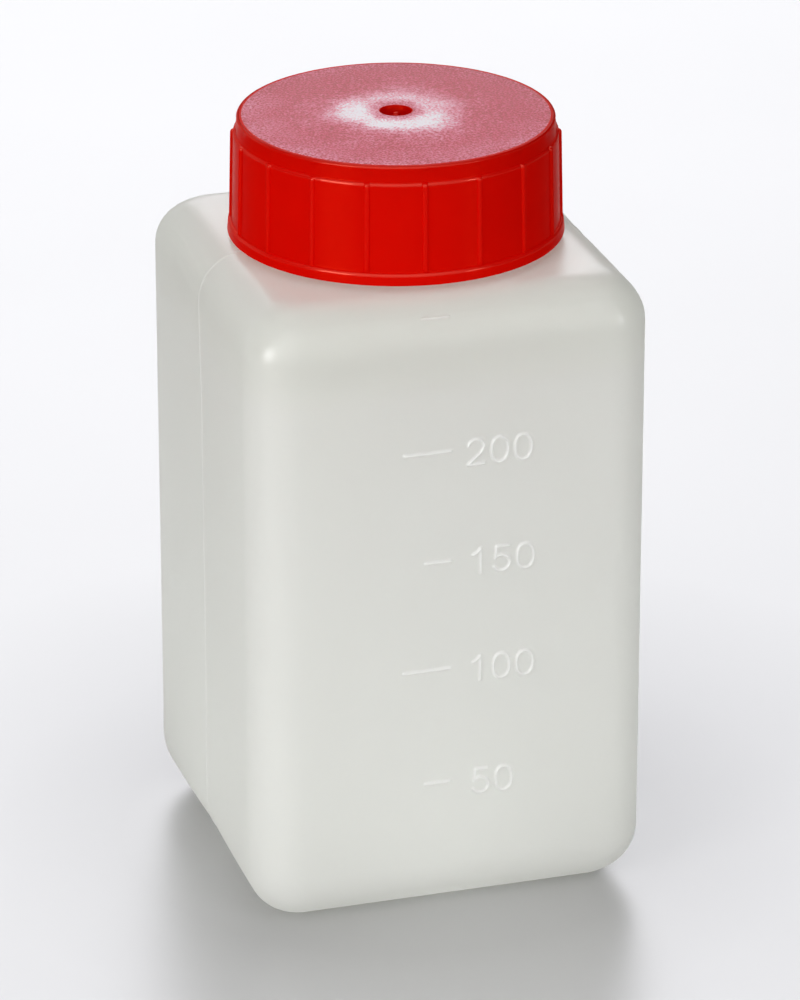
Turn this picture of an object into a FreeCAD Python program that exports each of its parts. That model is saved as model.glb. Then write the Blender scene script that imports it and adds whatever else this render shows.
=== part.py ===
import FreeCAD, Part
import math
import os

# Square wide-neck storage bottle with moulded graduations and a ribbed screw cap.
# Millimetres. Origin at the centre of the base, +Z up, graduated face towards -Y.

V = FreeCAD.Vector

# ---------------------------------------------------------------- body
body_width = 57.0            # across the flats
edge_radius = 6.0            # upright edges
base_radius = 8.4            # rounding between the walls and the base
shoulder_radius = 6.85       # rounding between the walls and the flat shoulder
base_edge_loss = 0.60        # how fast the corner radius falls going in over the base rounding
shoulder_edge_loss = 0.45    # the same over the shoulder rounding
shoulder_z = 91.6            # flat shoulder
wall = 0.95                  # side walls and shoulder
base_wall = 1.8              # thicker base
push_up_radius = 17.5        # round push-up in the base, so that it stands on its rim
push_up_depth = 3.0

# ---------------------------------------------------------------- neck
neck_bore_radius = 17.9
neck_radius = 19.15          # outside of the neck, root of its thread
lip_z = 106.96
lip_round = 0.35
neck_fillet = 0.7            # between neck and shoulder

# ---------------------------------------------------------------- thread, right-hand, one start
pitch = 4.0
neck_thread_radius = 20.6    # crest of the neck's thread
thread_base = 2.0            # width of a ridge where it meets its wall
thread_crest = 1.0           # width of a ridge at its crest
neck_thread_z = 97.0         # middle of the ridge where it starts
thread_turns = 1.5
flank_gap = 0.35             # under the neck's ridge, when the cap is shut
thread_bed = 0.30            # how far a ridge is sunk in its wall

# ---------------------------------------------------------------- sealing disc
seal_radius = 20.65
seal_thickness = 0.90
seal_gap = 0.02              # above and below the disc

# ---------------------------------------------------------------- cap
cap_bottom_z = 92.6
cap_edge_z = 109.2           # rim of the top plate
cap_crown = 0.40             # the top plate rises this much towards its middle
cap_bore_radius = 21.05      # inside of the skirt, root of its thread
cap_thread_radius = 19.60    # crest of the cap's thread
rim_radius = 23.38
rim_top_radius = 23.24
rim_top_z = 94.30
panel_low_radius = 22.78
panel_high_radius = 22.48
panel_top_z = 106.95
band_low_radius = 22.14
band_high_radius = 21.98
cap_round = 0.36             # rounding of the top edge
rib_count = 18
rib_width = 0.75
rib_height = 0.34            # how far a rib stands out of the panels
rib_first_angle = -96.9
dimple_radius = 2.13         # sunk gate mark in the middle of the top
dimple_depth = 0.85
gate_radius = 0.42
gate_height = 0.35
bead_radius = 20.35          # bead that keeps the sealing disc in the cap
bead_z = 106.38

# ---------------------------------------------------------------- graduations, raised on the front
mark_height = 0.25
mark_stroke = 0.45
mark_right_x = -0.57
long_left_x = -7.67
short_left_x = -4.61
marks = [(200, 70.25, True), (150, 53.98, False), (100, 37.84, True), (50, 20.57, False)]
top_mark_angle = 41.0        # the 250 mark lies on the shoulder rounding, this far round it
digit_height = 4.05
digit_width = 2.75
digit_pitch = 3.36
digit_left_x = {200: 1.55, 150: 1.95, 100: 1.95, 50: 2.35}
digit_drop = 0.50            # the numbers' middle lies this far under their mark


def rounded_square(half, radius, z):
    """Closed wire: a square of half-width half with round corners, at height z."""
    k = half - radius
    s = radius * math.sqrt(0.5)
    edges = []
    corners = [(k, k, 0), (-k, k, 90), (-k, -k, 180), (k, -k, 270)]
    ends = []
    for cx, cy, a0 in corners:
        a, m, b = (math.radians(a0 + d) for d in (0, 45, 90))
        pa, pm, pb = (V(cx + radius * math.cos(t), cy + radius * math.sin(t), z) for t in (a, m, b))
        ends.append((pa, pm, pb))
    for i, (pa, pm, pb) in enumerate(ends):
        edges.append(Part.Arc(pa, pm, pb).toShape())
        edges.append(Part.makeLine(pb, ends[(i + 1) % 4][0]))
    return Part.Wire(edges)


def solid_of(shape):
    """The one solid in a shape, checked."""
    solids = shape.Solids
    if len(solids) != 1:
        raise SystemExit("expected one solid, found %d" % len(solids))
    s = solids[0]
    if s.Volume < 0:
        s.reverse()
    return s


def box_form(half, r_edge, r_base, r_top, z0, z1, steps=9):
    """Upright square form with rounded edges, base and shoulder, from z0 to z1."""
    low = []
    for i in range(steps + 1):
        t = math.radians(90.0 * i / steps)
        inset = r_base * (1 - math.sin(t))
        z = z0 + r_base * (1 - math.cos(t))
        low.append(rounded_square(half - inset, max(r_edge - base_edge_loss * inset, 0.45), z))
    high = []
    for i in range(steps + 1):
        t = math.radians(90.0 * i / steps)
        inset = r_top * (1 - math.cos(t))
        z = z1 - r_top * (1 - math.sin(t))
        high.append(rounded_square(half - inset, max(r_edge - shoulder_edge_loss * inset, 0.45), z))
    bottom = Part.makeLoft(low, True, False)
    top = Part.makeLoft(high, True, False)
    mid = Part.Face(rounded_square(half, r_edge, z0 + r_base)).extrude(V(0, 0, z1 - r_top - z0 - r_base))
    return solid_of(bottom.fuse([mid, top]).removeSplitter())


def ring(profile):
    """Solid of revolution about Z from a closed profile of (radius, z) points."""
    pts = [V(r, 0, z) for r, z in profile]
    face = Part.Face(Part.makePolygon(pts + [pts[0]]))
    return face.revolve(V(0, 0, 0), V(0, 0, 1), 360)


def helix_ridge(root, crest, z_start, turns, angle):
    """Ridge of a right-hand thread: a trapezoid from its wall (root) to its crest radius."""
    out = 1.0 if crest > root else -1.0
    bed = root - out * thread_bed
    grow = thread_bed * (thread_base - thread_crest) / abs(crest - root)
    hb = (thread_base + grow) / 2
    hc = thread_crest / 2
    helix = Part.makeHelix(pitch, pitch * turns, root)
    pts = [V(bed, 0, -hb), V(crest, 0, -hc), V(crest, 0, hc), V(bed, 0, hb)]
    profile = Part.makePolygon(pts + [pts[0]])
    ridge = Part.Wire(helix.Edges).makePipeShell([profile], True, True)
    ridge = solid_of(ridge)
    ridge.rotate(V(0, 0, 0), V(0, 0, 1), angle)
    ridge.translate(V(0, 0, z_start))
    return ridge


# ---------------------------------------------------------------- graduation strokes
def slab(wire_or_face):
    """Raises a flat outline, drawn in X and Z, from the front wall outwards."""
    f = wire_or_face if isinstance(wire_or_face, Part.Face) else Part.Face(wire_or_face)
    f = f.copy()
    f.translate(V(0, -body_width / 2 + wall * 0.5, 0))
    return f.extrude(V(0, -(mark_height + wall * 0.5), 0))


def bar(x0, z0, x1, z1, w):
    """Straight stroke between two points of the front face."""
    d = math.hypot(x1 - x0, z1 - z0)
    ux, uz = (x1 - x0) / d, (z1 - z0) / d
    nx, nz = -uz * w / 2, ux * w / 2
    pts = [V(x0 + nx, 0, z0 + nz), V(x1 + nx, 0, z1 + nz), V(x1 - nx, 0, z1 - nz), V(x0 - nx, 0, z0 - nz)]
    return slab(Part.makePolygon(pts + [pts[0]]))


def bow(cx, cz, rx, rz, a0, a1, w, n=18):
    """Curved stroke along part of an ellipse, from angle a0 to a1 in degrees."""
    outer, inner = [], []
    for i in range(n + 1):
        a = math.radians(a0 + (a1 - a0) * i / n)
        outer.append(V(cx + (rx + w / 2) * math.cos(a), 0, cz + (rz + w / 2) * math.sin(a)))
        inner.append(V(cx + (rx - w / 2) * math.cos(a), 0, cz + (rz - w / 2) * math.sin(a)))
    pts = outer + inner[::-1]
    return slab(Part.makePolygon(pts + [pts[0]]))


def loop(cx, cz, rx, rz, w, n=36):
    """Closed oval stroke."""
    def oval(a, b):
        pts = [V(cx + a * math.cos(2 * math.pi * i / n), 0, cz + b * math.sin(2 * math.pi * i / n)) for i in range(n)]
        return Part.makePolygon(pts + [pts[0]])
    face = Part.Face([oval(rx + w / 2, rz + w / 2)]).cut(Part.Face([oval(rx - w / 2, rz - w / 2)])).Faces[0]
    return slab(face)


def digit(ch, x, z):
    """Strokes of one numeral whose cell starts at x and is centred on height z."""
    w, h, s = digit_width, digit_height, mark_stroke
    top, bot = z + h / 2, z - h / 2
    mid = x + w / 2
    if ch == "0":
        return [loop(mid, z, w / 2 - s / 2, h / 2 - s / 2, s)]
    if ch == "1":
        return [bar(mid + 0.25, bot, mid + 0.25, top, s), bar(mid - 0.75, top - 1.05, mid + 0.28, top - 0.30, s)]
    if ch == "2":
        r = w / 2 - s / 2
        cz = top - s / 2 - r
        end = math.radians(-35)
        return [bow(mid, cz, r, r, 165, -35, s),
                bar(mid + r * math.cos(end) + 0.05, cz + r * math.sin(end) + 0.08, x + s * 0.62, bot + s / 2, s),
                bar(x + s * 0.2, bot + s / 2, x + w, bot + s / 2, s)]
    r = w / 2 - s / 2
    cz = bot + s / 2 + r
    a = math.radians(128)
    return [bar(x + 0.45, top - s / 2, x + w - 0.15, top - s / 2, s),
            bar(x + 0.62, top - 0.05, mid + r * math.cos(a) - 0.05, cz + r * math.sin(a) - 0.1, s),
            bow(mid, cz, r, r, 140, -150, s)]


def graduations():
    out = []
    for value, z, long in marks:
        out.append(bar(long_left_x if long else short_left_x, z, mark_right_x, z, mark_stroke))
        for i, ch in enumerate(str(value)):
            out += digit(ch, digit_left_x[value] + i * digit_pitch, z - digit_drop)
    # the 250 mark, a short bar lying on the shoulder rounding
    t = math.radians(top_mark_angle)
    half = body_width / 2
    y = -(half - shoulder_radius * (1 - math.cos(t)))
    z = shoulder_z - shoulder_radius * (1 - math.sin(t))
    m = Part.makeBox(mark_right_x - short_left_x, 0.5 + mark_height, mark_stroke)
    m.translate(V(short_left_x, -mark_height, -mark_stroke / 2))
    m.rotate(V(0, 0, 0), V(1, 0, 0), -top_mark_angle)
    m.translate(V(0, y, z))
    return out + [m]


# ================================================================ bottle
half = body_width / 2
outer = box_form(half, edge_radius, base_radius, shoulder_radius, 0.0, shoulder_z)
inner = box_form(half - wall, edge_radius - wall, base_radius - base_wall, shoulder_radius - wall,
                 base_wall, shoulder_z - wall)
dome_r = (push_up_radius ** 2 + push_up_depth ** 2) / (2 * push_up_depth)
dome_z = push_up_depth - dome_r
outer = outer.cut(Part.makeSphere(dome_r, V(0, 0, dome_z)))
inner = inner.cut(Part.makeSphere(dome_r + base_wall, V(0, 0, dome_z)))

neck_profile = [(neck_bore_radius - 0.6, shoulder_z - wall),
                (neck_radius + neck_fillet, shoulder_z - wall / 2)]
steps = 6
for i in range(steps + 1):                                  # fillet on to the shoulder
    t = math.radians(90.0 * i / steps)
    neck_profile.append((neck_radius + neck_fillet * (1 - math.sin(t)), shoulder_z + neck_fillet * (1 - math.cos(t))))
for i in range(steps + 1):                                  # outer edge of the lip
    t = math.radians(90.0 * i / steps)
    neck_profile.append((neck_radius - lip_round * (1 - math.cos(t)), lip_z - lip_round * (1 - math.sin(t))))
neck_profile += [(neck_bore_radius + lip_round, lip_z)]
for i in range(1, steps + 1):                               # inner edge of the lip
    t = math.radians(90.0 * i / steps)
    neck_profile.append((neck_bore_radius + lip_round * (1 - math.sin(t)), lip_z - lip_round * (1 - math.cos(t))))
neck_profile += [(neck_bore_radius, shoulder_z - wall + 0.5)]
neck = ring(neck_profile)
bore = Part.makeCylinder(neck_bore_radius, lip_z - shoulder_z + 6.0, V(0, 0, shoulder_z - 5.0))

neck_ridge = helix_ridge(neck_radius, neck_thread_radius, neck_thread_z, thread_turns, 0.0)
shell = outer.cut(inner).cut(bore)
bottle = shell.fuse([neck, neck_ridge] + graduations()).cut(bore)
bottle = solid_of(bottle)

# ================================================================ sealing disc
seal_z = lip_z + seal_gap
seal = Part.makeCylinder(seal_radius, seal_thickness, V(0, 0, seal_z))
seal = seal.makeChamfer(0.12, [e for e in seal.Edges if e.Closed and len(e.Vertexes) == 1 and abs(e.Length - 2 * math.pi * seal_radius) < 0.01])
seal = solid_of(seal)

# ================================================================ screw cap
under_z = seal_z + seal_thickness + seal_gap                # underside of the top plate
crown_z = cap_edge_z + cap_crown
top_flat = band_high_radius - cap_round
crown_r = (top_flat ** 2 + cap_crown ** 2) / (2 * cap_crown)
profile = [(cap_bore_radius + 0.35, cap_bottom_z), (rim_radius - 0.12, cap_bottom_z), (rim_radius, cap_bottom_z + 0.12),
           (rim_top_radius, rim_top_z - 0.10), (rim_top_radius - 0.10, rim_top_z),
           (panel_low_radius, rim_top_z + 0.04), (panel_high_radius, panel_top_z - 0.08),
           (panel_high_radius - 0.08, panel_top_z), (band_low_radius, panel_top_z + 0.04)]
for i in range(steps + 1):
    t = math.radians(90.0 * i / steps)
    profile.append((top_flat + cap_round * math.cos(t), cap_edge_z - cap_round + cap_round * math.sin(t)))
n = 12
for i in range(1, n + 1):                                   # crowned top plate
    r = top_flat * (1 - i / n)
    profile.append((r, crown_z - crown_r + math.sqrt(crown_r ** 2 - r ** 2)))
profile += [(0.0, under_z), (cap_bore_radius - 0.4, under_z), (cap_bore_radius, under_z - 0.4),
            (cap_bore_radius, bead_z + 0.50), (bead_radius, bead_z), (cap_bore_radius, bead_z - 0.65),
            (cap_bore_radius, cap_bottom_z + 0.45)]
cap_body = ring(profile)

ribs = []
for i in range(rib_count):
    a = rib_first_angle + i * 360.0 / rib_count
    pts = [V(panel_high_radius - 0.7, -rib_width / 2, rim_top_z - 0.3),
           V(panel_low_radius + rib_height, -rib_width / 2, rim_top_z - 0.3),
           V(panel_low_radius + rib_height, -rib_width / 2, rim_top_z),
           V(panel_high_radius + rib_height, -rib_width / 2, panel_top_z - 0.20),
           V(panel_high_radius + rib_height - 0.20, -rib_width / 2, panel_top_z),
           V(panel_high_radius - 0.7, -rib_width / 2, panel_top_z)]
    r = Part.Face(Part.makePolygon(pts + [pts[0]])).extrude(V(0, rib_width, 0))
    r.rotate(V(0, 0, 0), V(0, 0, 1), a)
    ribs.append(r)

# the cap's ridge hangs under the neck's ridge, flank_gap lower than where their flanks would meet
slope = (thread_base - thread_crest) / (neck_thread_radius - neck_radius)
sum_width = 2 * thread_base - slope * (cap_bore_radius - neck_radius)
cap_ridge_drop = sum_width / 2 + flank_gap
cap_ridge = helix_ridge(cap_bore_radius, cap_thread_radius, neck_thread_z - cap_ridge_drop, thread_turns, 0.0)

dimple = Part.makeCylinder(dimple_radius, 3.0, V(0, 0, crown_z - dimple_depth))
gate = Part.makeCone(gate_radius, gate_radius * 0.75, gate_height + 0.3, V(0, 0, crown_z - dimple_depth - 0.3))
screw_cap = cap_body.fuse(ribs + [cap_ridge]).cut(dimple).fuse(gate)
screw_cap = solid_of(screw_cap)

# ================================================================ write
os.makedirs("parts", exist_ok=True)
for name, shape in (("bottle", bottle), ("seal_disc", seal), ("screw_cap", screw_cap)):
    if not shape.isValid():
        raise SystemExit(name + " is not a valid solid")
    shape.exportStep("parts/%s.step" % name)
    b = shape.BoundBox
    print("%-10s volume %.2f cm3  x %.2f..%.2f  y %.2f..%.2f  z %.2f..%.2f  faces %d" % (
        name, shape.Volume / 1000, b.XMin, b.XMax, b.YMin, b.YMax, b.ZMin, b.ZMax, len(shape.Faces)))
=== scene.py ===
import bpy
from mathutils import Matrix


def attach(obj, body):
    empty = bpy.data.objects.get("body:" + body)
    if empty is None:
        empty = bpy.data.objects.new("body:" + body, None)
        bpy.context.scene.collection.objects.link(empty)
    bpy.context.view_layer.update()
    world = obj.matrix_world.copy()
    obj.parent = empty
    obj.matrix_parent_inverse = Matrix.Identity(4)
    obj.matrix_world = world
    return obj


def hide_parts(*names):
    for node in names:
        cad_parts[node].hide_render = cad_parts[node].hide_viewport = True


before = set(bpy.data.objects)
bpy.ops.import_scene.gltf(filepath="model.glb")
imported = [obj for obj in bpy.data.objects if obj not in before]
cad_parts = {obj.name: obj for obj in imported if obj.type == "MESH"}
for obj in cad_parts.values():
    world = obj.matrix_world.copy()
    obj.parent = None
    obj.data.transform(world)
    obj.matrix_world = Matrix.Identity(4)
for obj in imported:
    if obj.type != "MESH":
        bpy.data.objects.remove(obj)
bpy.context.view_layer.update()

import math

import bpy
import numpy as np
from mathutils import Matrix, Vector

MM = 0.001

# ------------------------------------------------------------------ sizes, in millimetres, as in the frame
HALF, R_EDGE, R_BASE, R_SHOULDER = 28.5, 6.0, 8.4, 6.85
K_BASE, K_SHOULDER = 0.60, 0.45
SHOULDER_Z, WALL, BASE_WALL = 91.6, 0.95, 1.8
PUSH_R, PUSH_H = 17.5, 3.0
BORE_R, NECK_R, LIP_Z, LIP_ROUND, NECK_FILLET = 17.9, 19.15, 106.96, 0.35, 0.7
PITCH, NECK_CREST, THREAD_BASE, THREAD_CREST, THREAD_Z, TURNS = 4.0, 20.6, 2.0, 1.0, 97.0, 1.5
CAP_BORE, CAP_CREST, CAP_DROP = 21.05, 19.6, 1.695
SEAL_R, SEAL_Z, SEAL_T = 20.65, 106.98, 0.90
CAP_Z0, CAP_EDGE_Z, CAP_CROWN, UNDER_Z = 92.6, 109.2, 0.40, 107.90
RIM_R, RIM_TOP_R, RIM_TOP_Z = 23.38, 23.24, 94.30
PANEL_LO, PANEL_HI, PANEL_TOP_Z = 22.78, 22.48, 106.95
BAND_LO, BAND_HI, CAP_ROUND = 22.14, 21.98, 0.36
RIBS, RIB_W, RIB_H, RIB_A0 = 18, 0.75, 0.34, -96.9
DIMPLE_R, DIMPLE_D = 2.13, 0.85
BEAD_R, BEAD_Z = 20.35, 106.38

MARK_H, STROKE = 0.30, 0.42
MARK_RIGHT, LONG_LEFT, SHORT_LEFT = -0.57, -7.67, -4.61
MARKS = [("200", 70.25, True, 1.40), ("150", 53.98, False, 1.85), ("100", 37.84, True, 1.85), ("50", 20.57, False, 2.30)]
TOP_MARK_DEG = 41.0
DIGIT_H, DIGIT_W, DIGIT_PITCH, DIGIT_DROP = 4.05, 2.78, 3.36, 0.50


def smooth(t):
    t = np.clip(t, 0.0, 1.0)
    return t * t * (3 - 2 * t)


# ------------------------------------------------------------------ mesh helpers
class Builder:
    """Collects vertices and faces of one mesh, in millimetres."""

    def __init__(self):
        self.v, self.n, self.f, self.m, self.t = [], 0, [], [], []

    def add(self, pts, thick=None):
        """Adds points; thick, from 0 to 1, marks those on a raised line, where the plastic is thicker."""
        pts = np.asarray(pts, float).reshape(-1, 3)
        at = self.n
        self.v.append(pts)
        self.t.append(np.zeros(len(pts)) if thick is None else np.asarray(thick, float).reshape(-1))
        self.n += len(pts)
        return np.arange(at, self.n)

    def face(self, idx, mat=0):
        self.f.append(tuple(int(i) for i in idx))
        self.m.append(mat)

    def band(self, a, b, mat=0, skip=None):
        """Quads between two closed rings of equal count. skip holds columns left open."""
        n = len(a)
        for i in range(n):
            if skip and i in skip:
                continue
            j = (i + 1) % n
            self.face((a[i], a[j], b[j], b[i]), mat)

    def fan(self, ring, centre, mat=0, up=True):
        n = len(ring)
        for i in range(n):
            j = (i + 1) % n
            self.face((ring[i], ring[j], centre) if up else (ring[j], ring[i], centre), mat)

    def make(self, name, materials):
        me = bpy.data.meshes.new(name)
        co = np.concatenate(self.v) * MM
        sizes = np.array([len(f) for f in self.f], np.int32)
        loops = np.fromiter((i for f in self.f for i in f), np.int32, count=int(sizes.sum()))
        me.vertices.add(len(co))
        me.vertices.foreach_set("co", co.astype(np.float32).ravel())
        me.loops.add(len(loops))
        me.loops.foreach_set("vertex_index", loops)
        me.polygons.add(len(sizes))
        starts = np.concatenate([[0], np.cumsum(sizes)[:-1]]).astype(np.int32)
        me.polygons.foreach_set("loop_start", starts)
        me.polygons.foreach_set("material_index", np.array(self.m, np.int32))
        me.polygons.foreach_set("use_smooth", np.ones(len(sizes), bool))
        me.update(calc_edges=True)
        thick = me.attributes.new("thick", "FLOAT", "POINT")
        thick.data.foreach_set("value", np.concatenate(self.t).astype(np.float32))
        me.validate()
        for m in materials:
            me.materials.append(m)
        ob = bpy.data.objects.new(name, me)
        bpy.context.scene.collection.objects.link(ob)
        return ob


def zip_lines(b, outer, inner, po, pi):
    """Triangles between two lines of vertices that run side by side; po and pi are their places along it."""
    i = j = 0
    while i < len(outer) - 1 or j < len(inner) - 1:
        step_outer = j == len(inner) - 1 or (i < len(outer) - 1 and po[i + 1] <= pi[j + 1])
        if step_outer:
            b.face((outer[i], outer[i + 1], inner[j]))
            i += 1
        else:
            b.face((outer[i], inner[j + 1], inner[j]))
            j += 1


# ------------------------------------------------------------------ numerals as centre lines
def oval(cx, cz, rx, rz, a0, a1, n=28, power=2.0):
    a = np.radians(np.linspace(a0, a1, n))
    c, s = np.cos(a), np.sin(a)
    return np.stack([cx + rx * np.sign(c) * np.abs(c) ** (2 / power), cz + rz * np.sign(s) * np.abs(s) ** (2 / power)], 1)


def numeral(ch, x, z):
    """Centre lines of one numeral; its cell starts at x and is centred on height z."""
    w, h = DIGIT_W - STROKE, DIGIT_H - STROKE
    x, z = x + STROKE / 2, z - h / 2
    P = lambda u, v: (x + u * w, z + v * h)
    if ch == "0":
        return [oval(x + w / 2, z + h / 2, w / 2, h / 2, 0, 360, 48, 2.25)]
    if ch == "1":
        return [np.array([P(0.62, 0.0), P(0.62, 1.0)]), np.array([P(0.60, 0.985), P(0.42, 0.86), P(0.16, 0.76)])]
    if ch == "2":
        top = oval(x + 0.49 * w, z + 0.72 * h, 0.47 * w, 0.28 * h, 172, -28, 26)
        return [np.vstack([top, [P(0.80, 0.47)], [P(0.02, 0.01)]]), np.array([P(0.02, 0.0), P(1.0, 0.0)])]
    bowl = oval(x + 0.47 * w, z + 0.32 * h, 0.51 * w, 0.32 * h, 138, -152, 34)
    return [np.array([P(0.92, 1.0), P(0.17, 1.0)]), np.array([P(0.17, 1.0), P(0.09, 0.53)]), bowl]


def near_lines(px, pz, lines):
    """Least distance from points to a set of broken lines."""
    best = np.full(px.shape, 1e9)
    for ln in lines:
        for (x0, z0), (x1, z1) in zip(ln[:-1], ln[1:]):
            dx, dz = x1 - x0, z1 - z0
            q = dx * dx + dz * dz
            if q < 1e-12:
                continue
            t = np.clip(((px - x0) * dx + (pz - z0) * dz) / q, 0, 1)
            best = np.minimum(best, np.hypot(px - x0 - t * dx, pz - z0 - t * dz))
    return best


def relief(d, height=MARK_H, stroke=STROKE, soft=0.115):
    """Round-topped ridge of that stroke width around a centre line at distance d."""
    return height * smooth((stroke / 2 + soft * 0.6 - d) / (2 * soft))


# ------------------------------------------------------------------ thread
def ridge(z, theta, z_start, turns, inset=0.0):
    """0 to 1 over the ridge of the right-hand thread at height z and angle theta (radians)."""
    out = np.zeros(np.broadcast(z, theta).shape)
    th = np.mod(theta, 2 * np.pi)
    for k in range(int(math.ceil(turns)) + 1):
        run = th + 2 * np.pi * k
        u = np.abs(z - (z_start + PITCH * run / (2 * np.pi)))
        prof = smooth((THREAD_BASE / 2 + 0.06 - u) / ((THREAD_BASE - THREAD_CREST) / 2 + 0.12))
        total = 2 * np.pi * turns
        ends = smooth(run / 0.35) * smooth((total - run) / 0.35) * (run <= total)
        out = np.maximum(out, prof * ends)
    return out


# ================================================================== bottle
def make_bottle(material):
    b = Builder()
    flat = HALF - R_EDGE                                    # half length of a flat, 22.5

    # places of the columns along each flat, in millimetres from its middle at full width
    side = [0.0, 0.07, 0.14, 0.22, 0.34, 0.6, 1.2] + list(np.linspace(2.6, 21.9, 11))
    side = sorted(set([-s for s in side] + side))
    back = list(np.linspace(-21.9, 21.9, 23))
    x_lo, x_hi = -8.4, 11.8                                 # the numbers' patch
    front = list(np.linspace(-21.9, x_lo, 9)) + [-7.3, -6.2, -5.4, -5.0, -4.8, -4.66, -4.52, -4.3, -3.7, -2.9, -2.1, -1.4, -0.9,
             -0.66, -0.52, -0.38, -0.18, 0.3, 1.0, 2.2, 3.6, 5.0, 6.4, 7.8, 9.2, 10.5] + list(np.linspace(x_hi, 21.9, 7))
    corner = np.linspace(0, 90, 14)

    A, B, C, D, E, F = [], [], [], [], [], []

    def col(a, bb, c, d, e, f):
        A.append(a); B.append(bb); C.append(c); D.append(d); E.append(e); F.append(f)

    def corner_cols(sx, sy, a0):
        for t in corner:
            q = math.radians(a0 + t)
            col(sx, sy, math.cos(q), math.sin(q), 0, 0)

    face_of = []
    for y in side:
        col(0, y / flat, 0, 0, 1, 0); face_of.append(0)
    corner_cols(1, 1, 0); face_of += [-1] * len(corner)
    for x in back[::-1]:
        col(x / flat, 0, 0, 0, 0, 1); face_of.append(1)
    corner_cols(-1, 1, 90); face_of += [-1] * len(corner)
    for y in side[::-1]:
        col(0, y / flat, 0, 0, -1, 0); face_of.append(2)
    corner_cols(-1, -1, 180); face_of += [-1] * len(corner)
    front_at = len(A)
    for x in front:
        col(x / flat, 0, 0, 0, 0, -1); face_of.append(3)
    corner_cols(1, -1, 270); face_of += [-1] * len(corner)
    A, B, C, D, E, F = (np.array(q, float) for q in (A, B, C, D, E, F))
    face_of = np.array(face_of)
    n = len(A)

    def sq(h, r, z):
        l = h - r
        return np.stack([A * l + C * r + E * h, B * l + D * r + F * h, np.full(n, z)], 1)

    ref = sq(HALF - R_SHOULDER, R_EDGE - K_SHOULDER * R_SHOULDER, 0)
    theta = np.arctan2(ref[:, 1], ref[:, 0])
    ct, st = np.cos(theta), np.sin(theta)

    def ci(r, z):
        return np.stack([r * ct, r * st, np.broadcast_to(np.asarray(z, float), (n,))], 1)

    on_seam = np.isin(face_of, (0, 2))

    def panel(p, amount):
        """Flat walls sink a little between their edges and are never quite flat."""
        x, y, z = p.T
        along = np.where(np.isin(face_of, (0, 2)), y, x)
        up = smooth((z - 7.0) / 22.0) * smooth((86.0 - z) / 20.0)
        dip = 0.20 * np.cos(np.clip(along / 24.5, -1, 1) * np.pi / 2) ** 2 * up
        wave = 0.022 * up * (np.sin(along * 0.33 + 0.9 * face_of + z * 0.05) * np.sin(z * 0.19 + 1.3 * face_of)
                             + 0.6 * np.sin(along * 0.71 + 2.0 * face_of) * np.sin(z * 0.43 + 0.5))
        d = np.where(face_of >= 0, dip + wave + 0.036 * up, 0.0) * amount
        nx = np.select([face_of == 0, face_of == 2], [1.0, -1.0], 0.0)
        ny = np.select([face_of == 1, face_of == 3], [1.0, -1.0], 0.0)
        return p - np.stack([nx * d, ny * d, np.zeros(n)], 1)

    def seam(p, normal, amount=0.11):
        """Fine raised line where the two halves of the mould meet."""
        d = amount * (np.exp(-(p[:, 1] / 0.14) ** 2) - np.exp(-(p[:, 1] / 4.0) ** 2)) * on_seam
        return p + normal * d[:, None]

    out_x = np.stack([np.sign(ref[:, 0]), np.zeros(n), np.zeros(n)], 1)
    up_z = np.tile([0.0, 0.0, 1.0], (n, 1))

    rows = []

    def push(p, thick=None):
        rows.append(b.add(p, thick))
        return rows[-1]

    def on_line(p):
        return 0.97 * np.exp(-(p[:, 1] / 0.15) ** 2) * on_seam

    # ---- underside: round push-up, weld line, flat rim
    dome_r = (PUSH_R ** 2 + PUSH_H ** 2) / (2 * PUSH_H)

    def dome(r, extra=0.0):
        return PUSH_H - dome_r + np.sqrt((dome_r + extra) ** 2 - r ** 2)

    def under(r):
        s = dome(r)
        return 0.5 * (s + math.sqrt(s * s + 0.06)) - 0.5 * (dome(19.6) + math.sqrt(dome(19.6) ** 2 + 0.06))

    def weld(p):
        x, y, z = p.T
        d = 0.32 * np.exp(-(y / 0.38) ** 2) * smooth((19.0 - np.abs(x)) / 3.0)
        return p - np.stack([np.zeros(n), np.zeros(n), d], 1) * (z > 0.35)[:, None]

    centre = b.add([[0, 0, under(0) - 0.32]])[0]
    first = None
    for r in (0.7, 1.5, 2.8, 4.5, 6.5, 8.5, 10.5, 12.5, 14.2, 15.6, 16.5, 17.1, 17.6, 18.1, 18.7, 19.4):
        ring = push(weld(ci(r, under(min(r, 19.6)))))
        if first is None:
            first = ring
    low = sq(HALF - R_BASE, R_EDGE - K_BASE * R_BASE, 0.0)
    for t in (0.25, 0.5, 0.75):
        push(ci(19.4, 0.0) * (1 - t) + low * t)
    # ---- rounding up to the walls; the base edge is drawn up a little at the mould line
    for t in np.linspace(0, 90, 17)[:-1]:
        q = math.radians(t)
        inset, z = R_BASE * (1 - math.sin(q)), R_BASE * (1 - math.cos(q))
        p = sq(HALF - inset, R_EDGE - K_BASE * inset, z)
        nrm = np.stack([np.sign(ref[:, 0]) * math.sin(q), np.zeros(n), np.full(n, -math.cos(q))], 1)
        p = seam(p, nrm)
        lift = 0.42 * np.exp(-(p[:, 1] / 10.0) ** 2) * (np.abs(p[:, 0]) > 12) * (1 - t / 90.0)
        sink = 0.16 * np.exp(-(p[:, 1] / 11.0) ** 2) * (np.abs(p[:, 0]) > 12) * math.sin(q)
        p[:, 2] += lift
        p[:, 0] -= np.sign(p[:, 0]) * sink
        push(p, on_line(p))
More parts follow.
